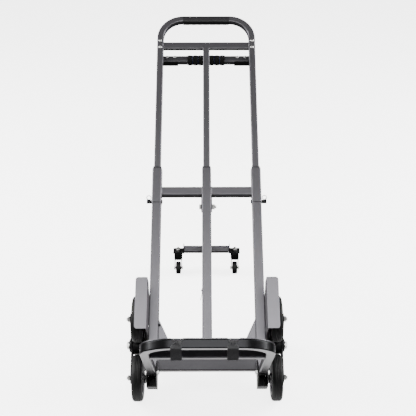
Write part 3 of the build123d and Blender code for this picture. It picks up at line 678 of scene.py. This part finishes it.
clip_vertices = [spot(CLIP_X - bow, s, n) for s, bow in CLIP_BOW for n in CLIP_EDGES_N]
clip_faces = []
for k in range(len(CLIP_BOW) - 1):
    clip_faces += rows(2 * k, 2 * k + 2, 2, closed=False)
clip = piece("leg_clip_spring", clip_vertices, clip_faces, black_steel, "frame", "black_steel")
thicken(clip, CLIP_THICK)
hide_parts("leg_clip")
clip_screw = dome(spot(*CLIP_SCREW), -ACROSS, *CLIP_SCREW_HEAD)
piece("leg_clip_screw", *clip_screw, black_steel, "frame", "black_steel")

# ---------------------------------------------------------------- seams, a screw and the hinge strips
SEAM_TOP, SEAM_HIGH = 0.4746, 0.0018
SEAM_HALF, SEAM_CORNER = 0.0165, 0.0040
STRIP_HALF = 0.0128
STRIP_S = (-0.1155, -0.1085)
STRIP_N = (-0.032, -0.0295)
RAIL_SCREW, RAIL_SCREW_HEAD = (-0.1565, 0.046, -0.0042), (0.0046, 0.0062)


def band(x, low, high, half, radius):
    """Square collar round a side rail, from low to high up the rail."""
    ring = []
    for corner, (side_x, side_n) in enumerate(((1, 1), (-1, 1), (-1, -1), (1, -1))):
        for k in range(5):
            angle = math.radians(90 * corner + 90 * k / 4)
            across = side_x * (half - radius) + radius * math.cos(angle)
            out = side_n * (half - radius) + radius * math.sin(angle)
            ring.append((across, out))
    count = len(ring)
    vertices = [spot(x + across, s, TUBE_N + out) for s in (low, high) for across, out in ring]
    return vertices, rows(0, count, count) + caps(count, count)


seam_parts, strip_parts = [], []
for sign in SIDES.values():
    middle = sign * RAIL_X
    seam_parts.append(band(middle, SEAM_TOP - SEAM_HIGH, SEAM_TOP, SEAM_HALF, SEAM_CORNER))
    strip_low = (middle - STRIP_HALF, STRIP_S[0], STRIP_N[0])
    strip_high = (middle + STRIP_HALF, STRIP_S[1], STRIP_N[1])
    strip_parts.append(block(strip_low, strip_high, spot))
piece("lock_sleeve_seams", *join(seam_parts), black_plastic, "frame", "black_steel", False)
rail_screw = dome(spot(*RAIL_SCREW), ACROSS, *RAIL_SCREW_HEAD)
piece("left_rail_screw", *rail_screw, black_steel, "frame", "black_steel")
strips = piece("hinge_back_strips", *join(strip_parts), black_steel, "frame", "black_steel", False)
soft_edges(strips, 0.0006)

# ---------------------------------------------------------------- weld beads
RAIL_HALF = 0.016
BEAD_RADIUS, BEAD_PITCH, BEAD_WANDER = 0.0016, 0.0022, 0.00018
BEAD_SWELL, BEAD_END = 0.14, 0.6
LOW_BAR_S = (-0.0985, -0.0635)
MID_BAR_S = (0.5015, 0.5315)
HANDLE_BAR_S = (1.101, 1.130)
LEG_BAR_N = -0.4985


def weld(start, end):
    """A rippled weld bead between two points."""
    length = (end - start).length
    steps = max(4, int(length / BEAD_PITCH * 3))
    points, radii = [], []
    for k in range(steps + 1):
        share = k / steps
        wander = Vector([random.uniform(-1, 1) * BEAD_WANDER for _ in range(3)])
        points.append(start.lerp(end, share) + wander)
        ripple = abs(math.sin(math.pi * share * length / BEAD_PITCH))
        taper = BEAD_END if k in (0, steps) else 1.0
        radii.append(BEAD_RADIUS * (1 - BEAD_SWELL + BEAD_SWELL * ripple) * taper)
    return tube(points, radii)


def up_line(x, n, start, end):
    """Two (x, s, n) points of a line up the rails."""
    return (x, start, n), (x, end, n)


def out_line(x, s, start, end):
    """Two (x, s, n) points of a line out of the load side."""
    return (x, s, start), (x, s, end)


def beads(name, body, lines):
    """Weld beads along lines, in the colour of the frame."""
    parts = [weld(spot(*start), spot(*end)) for start, end in lines]
    piece(name, *join(parts), frame_coat, body, "frame_coat")


# The lines lie on the frame's bottom and middle cross tubes and gussets, on the handle's upper cross
# tube, on the toe frame's cross tube and on the leg's foot.
frame_lines, handle_lines, toe_lines, leg_lines = [], [], [], []
for sign in SIDES.values():
    rail = sign * (RAIL_X - RAIL_HALF - 0.0006)
    frame_lines += [
        up_line(rail, 0.0, *LOW_BAR_S), up_line(rail, -0.030, *LOW_BAR_S),
        out_line(rail, -0.062, -0.001, -0.0075), up_line(rail, -0.0085, -0.052, 0.055),
    ]
    for x in (sign * (RAIL_X - RAIL_HALF - 0.001), sign * (RAIL_HALF + 0.0008)):
        frame_lines.append(up_line(x, -0.001, 0.504, 0.529))
        frame_lines += [out_line(x, s, -0.003, -0.029) for s in MID_BAR_S]
    inner = sign * (RAIL_X - 0.012)
    handle_lines.append(up_line(inner, -0.0085, 1.103, 1.128))
    handle_lines += [out_line(inner, s, -0.010, -0.022) for s in HANDLE_BAR_S]
    handle_lines.append(out_line(sign * 0.012, HANDLE_BAR_S[0], -0.010, -0.022))
    toe = sign * (RAIL_X - 0.0125)
    toe_lines += [out_line(toe, -0.118, 0.281, 0.300), up_line(toe, 0.278, -0.115, -0.096)]
    leg_lines.append(up_line(sign * 0.015, LEG_BAR_N, 0.4645, 0.4875))
leg_lines += [((-0.013, s, LEG_BAR_N), (0.013, s, LEG_BAR_N)) for s in (0.461, 0.491)]
beads("frame_welds", "frame", frame_lines)
beads("handle_welds", "handle", handle_lines)
beads("toe_welds", "toe_plate", toe_lines)
beads("leg_welds", "support_leg", leg_lines)

# ---------------------------------------------------------------- toe straps
STRAP_THICK, STRAP_WIDE = 0.0016, 0.030
STRAP_COLUMNS, PATH_STEPS = 16, 6
TUBE_TOP, TUBE_FRONT, TUBE_UNDER = -0.0930, 0.435, -0.118
HANG_DRIFT, HANG_START, HANG_SETTLE = -0.0025, 0.030, 0.020
GATHER_AT, GATHER_REACH, GATHER_PINCH, GATHER_LEAST = 0.0430, 0.0062, 0.42, 0.02
FOLD_HEIGHT, FOLD_AT, FOLD_ACROSS, FOLD_ALONG = 0.0012, 0.047, 2.6, 90
RIPPLE_HEIGHT, RIPPLE_ACROSS, RIPPLE_ALONG = 0.00012, 9, 300


def strap_path():
    """Points along a strap: over the tube, down its front, hanging, and folded back up."""
    lie = [
        (TUBE_TOP + 0.0012, TUBE_FRONT - 0.031), (TUBE_TOP + 0.0014, TUBE_FRONT - 0.016),
        (TUBE_TOP + 0.0012, TUBE_FRONT - 0.004), (TUBE_TOP - 0.001, TUBE_FRONT + 0.0010),
        (TUBE_TOP - 0.0075, TUBE_FRONT + 0.0014), (TUBE_TOP - 0.0145, TUBE_FRONT + 0.0012),
        (TUBE_TOP - 0.0205, TUBE_FRONT + 0.0014), (TUBE_UNDER - 0.001, TUBE_FRONT + 0.0012),
    ]
    line = [spot(0, s, n) for s, n in lie]
    last = line[-1]
    for drop in (0.004, 0.011, 0.018, 0.025, 0.032, 0.0385):
        line.append(last + Vector((0, -0.0003 - 0.0004 * math.sin(drop * 240), -drop)))
    line.append(last + Vector((0, 0.0010, -0.0400)))
    line.append(last + Vector((0, 0.0022, -0.0382)))
    line += [last + Vector((0, 0.0019, -drop)) for drop in (0.032, 0.024, 0.015)]
    return line


def smooth_path(line, steps):
    """Catmull-Rom curve through the points, with steps points for each stretch."""
    curve = []
    for k in range(len(line) - 1):
        a, b = line[k], line[k + 1]
        before, after = line[max(k - 1, 0)], line[min(k + 2, len(line) - 1)]
        for step in range(steps):
            t = step / steps
            square = (2 * before - 5 * a + 4 * b - after) * t * t
            cube = (3 * a - before - 3 * b + after) * t * t * t
            curve.append(0.5 * (2 * a + (b - before) * t + square + cube))
    curve.append(line[-1])
    return curve


def crumple(folds, share, length, gathered):
    """Height of the folds at one place across and along a strap."""
    height = 0.0
    for cycles, phase, skew in folds:
        lie = share * FOLD_ACROSS + skew * (length - FOLD_AT) * FOLD_ALONG
        height += FOLD_HEIGHT * math.sin(2 * math.pi * cycles * lie + phase)
    height = FOLD_HEIGHT + height if gathered > GATHER_LEAST else 0.0
    ripple = RIPPLE_HEIGHT * math.sin(share * RIPPLE_ACROSS + length * RIPPLE_ALONG)
    return ripple + max(0.0, height) * gathered


def strap(name, middle, seed, lean):
    """Woven strap over the toe frame's front edge, crumpled in front, with its end folded."""
    rng = random.Random(seed)
    folds = [(rng.uniform(0.6, 1.5), rng.uniform(0, 6.28), rng.uniform(-0.6, 0.6)) for _ in range(3)]
    curve = smooth_path(strap_path(), PATH_STEPS)
    end = len(curve) - 1
    row = STRAP_COLUMNS + 1
    length = 0.0
    vertices, faces, lies = [], [], []
    for k, point in enumerate(curve):
        length += (point - curve[max(k - 1, 0)]).length
        way = (curve[min(k + 1, end)] - curve[max(k - 1, 0)]).normalized()
        normal = ACROSS.cross(way)
        gathered = math.exp(-((length - GATHER_AT) / GATHER_REACH) ** 2)
        wide = STRAP_WIDE * (1 - GATHER_PINCH * gathered)
        hang = min(1.0, max(0.0, (length - HANG_START) / HANG_SETTLE))
        centre = middle + lean * gathered + HANG_DRIFT * hang
        for column in range(row):
            share = column / STRAP_COLUMNS - 0.5
            lift = crumple(folds, share, length, gathered)
            vertices.append(point + ACROSS * (centre + share * wide) - normal * lift)
            lies.append((share * STRAP_WIDE, length, 0.0))
        if k:
            faces += rows((k - 1) * row, k * row, row, closed=False)
    made = piece(name, vertices, faces, strap_weave, "toe_plate", "strap_fabric")
    attribute = made.data.attributes.new("lie", "FLOAT_VECTOR", "POINT")
    attribute.data.foreach_set("vector", [value for lie in lies for value in lie])
    thicken(made, STRAP_THICK)
    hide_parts("toe_straps")


strap_low, strap_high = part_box("toe_straps")
strap("left_toe_strap", strap_low.x + STRAP_WIDE / 2, seed=3, lean=0.004)
strap("right_toe_strap", strap_high.x - STRAP_WIDE / 2, seed=8, lean=-0.002)

# ---------------------------------------------------------------- casters
CROWN_LOW, CROWN_HIGH = Vector((-0.0165, -0.017, 0.0605)), Vector((0.0165, 0.015, 0.0912))
BRIDGE_LOW, BRIDGE_HIGH = Vector((-0.0147, -0.0150, 0.0582)), Vector((0.0147, 0.0128, 0.0604))
CHEEK_X, CHEEK_THICK, CHEEK_ROUND, CHEEK_STEPS = 0.0125, 0.0022, 0.0085, 12
CHEEK_CORNERS = ((0.002, 0.052), (0.0128, 0.0605), (0.0128, 0.071), (-0.0150, 0.071), (-0.0265, 0.050))
PIN_OUTLINE = (
    (-0.0180, 0.0), (-0.0180, 0.0052), (-0.0165, 0.0062), (-0.0148, 0.0062), (-0.0148, 0.0039),
    (0.0148, 0.0039), (0.0148, 0.0062), (0.0165, 0.0062), (0.0180, 0.0052), (0.0180, 0.0),
)
STEM_FOOT, STEM_RADIUS, STEM_TIP, STEM_CHAMFER = 0.062, 0.0049, 0.0038, 0.0012
PIN_COUNT = 32


def cheek_outline(axle_y, axle_z):
    """Outline of a fork's cheek, round below the axle; axle_y is measured from the stem."""
    ring = []
    for k in range(CHEEK_STEPS + 1):
        angle = math.radians(180 + 180 * k / CHEEK_STEPS)
        y = axle_y + CHEEK_ROUND * math.cos(angle)
        ring.append(Vector((0, y, axle_z + CHEEK_ROUND * math.sin(angle))))
    return ring + [Vector((0, y, z)) for y, z in CHEEK_CORNERS]


def caster(side):
    """A caster's crown block, its two cheeks with their bridge, and its axle with the stem."""
    stem = Vector(joints[f"{side}_caster_swivel"]["pos_m"])
    axle = Vector(joints[f"{side}_caster_spin"]["pos_m"])
    stem_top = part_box(f"{side}_caster_fork")[1].z
    foot = Vector((stem.x, stem.y, 0))
    body = f"{side}_caster"

    crown_mesh = block(foot + CROWN_LOW, foot + CROWN_HIGH, upright)
    crown = piece(f"{side}_caster_crown", *crown_mesh, black_plastic, body, "black_steel", False)
    soft_edges(crown, 0.0035, 4)

    outline = cheek_outline(axle.y - stem.y, axle.z)
    cheeks = []
    for face in (-1, 1):
        start = foot + face * CHEEK_X * ACROSS
        cheeks.append(prism(outline, start, face * ACROSS, CHEEK_THICK))
    cheeks.append(block(foot + BRIDGE_LOW, foot + BRIDGE_HIGH, upright))
    plates = piece(f"{side}_caster_cheeks", *join(cheeks), fork_zinc, body, "zinc", False)
    soft_edges(plates, 0.0006)

    shank = [(0.0, STEM_FOOT), (STEM_RADIUS, STEM_FOOT), (STEM_RADIUS, stem_top - STEM_CHAMFER)]
    shank += [(STEM_TIP, stem_top), (0.0, stem_top)]
    bolts = join([lathe(axle, PIN_OUTLINE, PIN_COUNT), stand(stem, shank, PIN_COUNT)])
    pin = piece(f"{side}_caster_axle", *bolts, bolt_zinc, body, "zinc")
    soft_edges(pin, 0.0003, angle=50.0)
    for made in (crown, plates, pin):
        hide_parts(f"{side}_caster_fork")


for side in SIDES:
    caster(side)

# ---------------------------------------------------------------- floor and light
WHITE = (1.0, 1.0, 1.0, 1.0)
FLOOR_SIZE, FLOOR_Z, FLOOR_GLOW = 30.0, -0.0005, 4.0
CARD_SIZE, CARD_PLACE, CARD_GLOW = (0.80, 0.56, 1.0), (0, -0.38, -0.0003), 0.85
SKY = ((0.02, 0.15), (0.12, 0.06), (0.42, 0.06), (0.455, 0.90), (0.56, 0.74), (0.68, 0.34), (0.88, 0.22))

floor_look = Shader("floor", Roughness=0.6, Emission_Color=WHITE, Emission_Strength=FLOOR_GLOW)
cloud = floor_look.noise(3.0, 4.0)
floor_look.colour(floor_look.ramp(cloud, ((0.3, (0.93, 0.93, 0.93)), (0.7, (0.96, 0.96, 0.96)))))
bpy.ops.mesh.primitive_plane_add(size=FLOOR_SIZE, location=(0, 0, FLOOR_Z))
floor = bpy.context.object
floor.name = "floor"
floor.data.materials.append(floor_look.material)
floor.visible_glossy = False
floor.visible_diffuse = False

# The card is seen only in reflections, and lights the undersides that the floor leaves dark.
card_look = Shader("bounce_card", Roughness=1.0, Emission_Color=WHITE, Emission_Strength=CARD_GLOW)
bpy.ops.mesh.primitive_plane_add(size=1.0, location=CARD_PLACE)
card = bpy.context.object
card.name = "bounce_card"
card.scale = CARD_SIZE
card.data.materials.append(card_look.material)
card.visible_camera = False
card.visible_diffuse = False
card.visible_shadow = False
card.visible_transmission = False


def studio_world(stops):
    """A gray world whose light follows the height; stops are (height, light), 0 below and 1 above."""
    world = bpy.data.worlds.new("studio")
    world.use_nodes = True
    nodes, links = world.node_tree.nodes, world.node_tree.links
    coords = nodes.new("ShaderNodeTexCoord")
    parts = nodes.new("ShaderNodeSeparateXYZ")
    height = nodes.new("ShaderNodeMapRange")
    height.inputs["From Min"].default_value = -1.0
    light_ramp = nodes.new("ShaderNodeValToRGB")
    fill_ramp(light_ramp, [(place, (light, light, light)) for place, light in stops])
    sky = nodes["Background"]
    sky.inputs["Strength"].default_value = 1.0
    links.new(coords.outputs["Generated"], parts.inputs["Vector"])
    links.new(parts.outputs["Z"], height.inputs["Value"])
    links.new(height.outputs["Result"], light_ramp.inputs["Fac"])
    links.new(light_ramp.outputs["Color"], sky.inputs["Color"])
    return world


def softbox(name, place, aim, size, power):
    """A rectangular lamp at place that points to aim."""
    data = bpy.data.lights.new(name, "AREA")
    data.shape = "RECTANGLE"
    data.size, data.size_y = size
    data.energy = power
    light = bpy.data.objects.new(name, data)
    light.location = place
    light.rotation_euler = (Vector(aim) - Vector(place)).to_track_quat("-Z", "Y").to_euler()
    bpy.context.scene.collection.objects.link(light)


bpy.context.scene.world = studio_world(SKY)
softbox("key", (0.0, -2.3, 3.4), (0.0, -0.6, 0.2), (3.4, 1.5), 140.0)
softbox("left_fill", (-3.4, 0.6, 2.0), (0.0, 0.3, 0.0), (1.4, 3.0), 300.0)
softbox("right_fill", (3.4, 0.6, 2.0), (0.0, 0.3, 0.0), (1.4, 3.0), 300.0)
